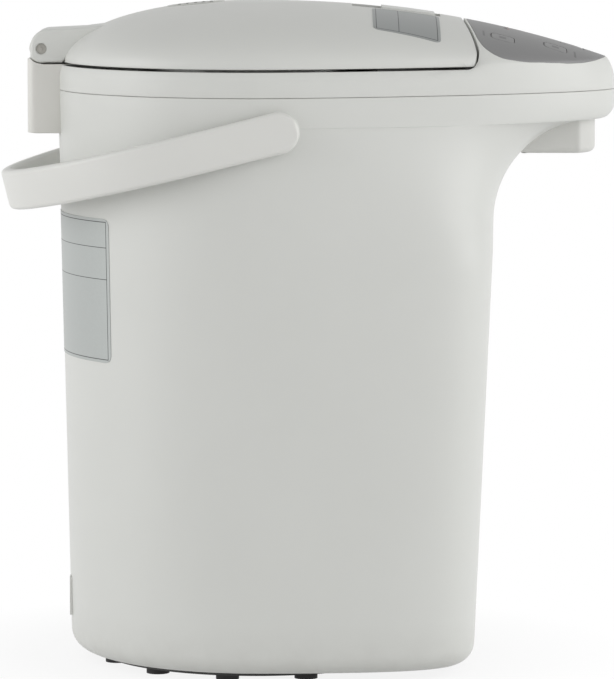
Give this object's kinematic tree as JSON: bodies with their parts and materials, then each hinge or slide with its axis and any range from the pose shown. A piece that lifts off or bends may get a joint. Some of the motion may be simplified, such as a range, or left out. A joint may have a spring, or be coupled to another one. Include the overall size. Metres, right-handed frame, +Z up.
{
  "type": "electric thermo pot",
  "caption": "Egg-shaped electric thermo pot with a domed hinged lid, a beak with button panel and nozzle, a U-shaped carrying handle and a swivel base.",
  "frame": {"origin": "where the axis of the swivel base meets the surface that the pot stands on", "axes": "+Z up along the swivel axis, the beak points along -Y, the lid hinge is at +Y, and X is across"},
  "size_m": [0.214, 0.3079, 0.3305],
  "materials": {
    "shell_plastic": "satin moulded plastic, warm light grey",
    "panel_plastic": "dark grey satin overlay",
    "key_plastic": "grey satin",
    "dark_plastic": "matt",
    "milky_plastic": "milky, matt",
    "plate_film": "silver grey printed film",
    "steel": "brushed",
    "pot_steel": "drawn stainless sheet",
    "rubber": "matt",
    "seal_rubber": "silicone, milky",
    "wool": "felted jacket",
    "mica": "mica and resin",
    "circuit_board": "coated board",
    "ferrite": "sintered",
    "brass": "plated",
    "window": "clear, grey tint",
    "lamp": "clear light pipes",
    "wire": "silicone sleeve"
  },
  "bodies": {
    "housing": {"outer_case": "shell_plastic", "base_cover": "dark_plastic", "base_screws": "steel", "top_cover": "shell_plastic", "control_panel": "panel_plastic", "hinge_bracket": "shell_plastic", "hinge_pin": "steel", "handle_studs": "milky_plastic", "level_window": "window", "nozzle_cover": "shell_plastic", "spout_pipe": "milky_plastic", "riser_pipe": "milky_plastic", "rear_plate": "plate_film", "inner_pot": "pot_steel", "mouth_gasket": "seal_rubber", "insulation_jacket": "wool", "heater_band": "mica", "heater_plate": "mica", "thermostat": "mica", "thermal_fuse": "milky_plastic", "pot_stand": "dark_plastic", "pump_housing": "milky_plastic", "pump_cover": "milky_plastic", "pump_motor": "steel", "suction_elbow": "seal_rubber", "power_board": "circuit_board", "transformer": "ferrite", "relay": "dark_plastic", "control_board": "circuit_board", "key_switches": "dark_plastic", "indicator_lamps": "lamp", "power_socket": "dark_plastic", "socket_pins": "brass", "wiring_harness": "wire"},
    "lid": {"lid_outer": "shell_plastic", "lid_inner_plate": "shell_plastic", "lid_plug": "pot_steel", "lid_gasket": "seal_rubber", "steam_vent_cap": "shell_plastic", "lid_plate": "plate_film", "lever_tray": "shell_plastic"},
    "lever": {"lid_lever": "shell_plastic", "lever_spring": "steel"},
    "bolt": {"latch_bolt": "milky_plastic"},
    "handle": {"handle": "shell_plastic"},
    "swivel": {"swivel_base": "dark_plastic", "swivel_pads": "rubber", "swivel_retainer": "steel"},
    "pump_magnet": {"drive_magnet": "ferrite"},
    "pump_wheel": {"impeller": "milky_plastic"},
    "valve_ball": {"tip_valve_ball": "steel"},
    "dispense_key": {"dispense_button": "key_plastic"},
    "lock_key": {"lock_button": "key_plastic"},
    "timer_key": {"timer_button": "key_plastic"},
    "reboil_key": {"reboil_button": "key_plastic"},
    "warmth_key": {"warmth_button": "key_plastic"}
  },
  "joints": [
    {"name": "lid_hinge", "type": "hinge", "parent": "housing", "child": "lid", "pos_m": [0, 0.1073, 0.307], "axis": [-1, 0, 0], "range_deg": [0, 85]},
    {"name": "lever_hinge", "type": "hinge", "parent": "lid", "child": "lever", "pos_m": [0, -0.086, 0.3186], "axis": [1, 0, 0], "range_deg": [0, 22]},
    {"name": "bolt_slide", "type": "slide", "parent": "lid", "child": "bolt", "axis": [0, 1, 0], "range_m": [0, 0.0044], "stiffness_N_per_m": 200},
    {"name": "handle_swing", "type": "hinge", "parent": "housing", "child": "handle", "pos_m": [0, -0.0108, 0.2703], "axis": [1, 0, 0], "range_deg": [0, 150]},
    {"name": "base_swivel", "type": "hinge", "parent": "housing", "child": "swivel", "pos_m": [0, 0, 0.004], "axis": [0, 0, 1], "continuous": true},
    {"name": "magnet_spin", "type": "hinge", "parent": "housing", "child": "pump_magnet", "pos_m": [0, -0.052, 0.027], "axis": [0, 0, 1], "continuous": true},
    {"name": "impeller_spin", "type": "hinge", "parent": "housing", "child": "pump_wheel", "pos_m": [0, -0.052, 0.034], "axis": [0, 0, 1], "continuous": true},
    {"name": "tip_valve", "type": "slide", "parent": "housing", "child": "valve_ball", "axis": [0, 0, 1], "range_m": [0, 0.004]},
    {"name": "dispense_press", "type": "slide", "parent": "housing", "child": "dispense_key", "axis": [0, 0.292, -0.9564], "range_m": [0, 0.0008], "stiffness_N_per_m": 600},
    {"name": "lock_press", "type": "slide", "parent": "housing", "child": "lock_key", "axis": [0.2404, 0.2466, -0.9388], "range_m": [0, 0.0008], "stiffness_N_per_m": 600},
    {"name": "timer_press", "type": "slide", "parent": "housing", "child": "timer_key", "axis": [0.2068, 0.303, -0.9303], "range_m": [0, 0.0008], "stiffness_N_per_m": 600},
    {"name": "reboil_press", "type": "slide", "parent": "housing", "child": "reboil_key", "axis": [-0.2404, 0.2466, -0.9388], "range_m": [0, 0.0008], "stiffness_N_per_m": 600},
    {"name": "warmth_press", "type": "slide", "parent": "housing", "child": "warmth_key", "axis": [-0.2068, 0.303, -0.9303], "range_m": [0, 0.0008], "stiffness_N_per_m": 600}
  ],
  "couplings": [
    {"joint": "lever_hinge", "follows": "bolt_slide", "rad_per_m": 87},
    {"joint": "impeller_spin", "follows": "magnet_spin", "ratio": 1}
  ]
}
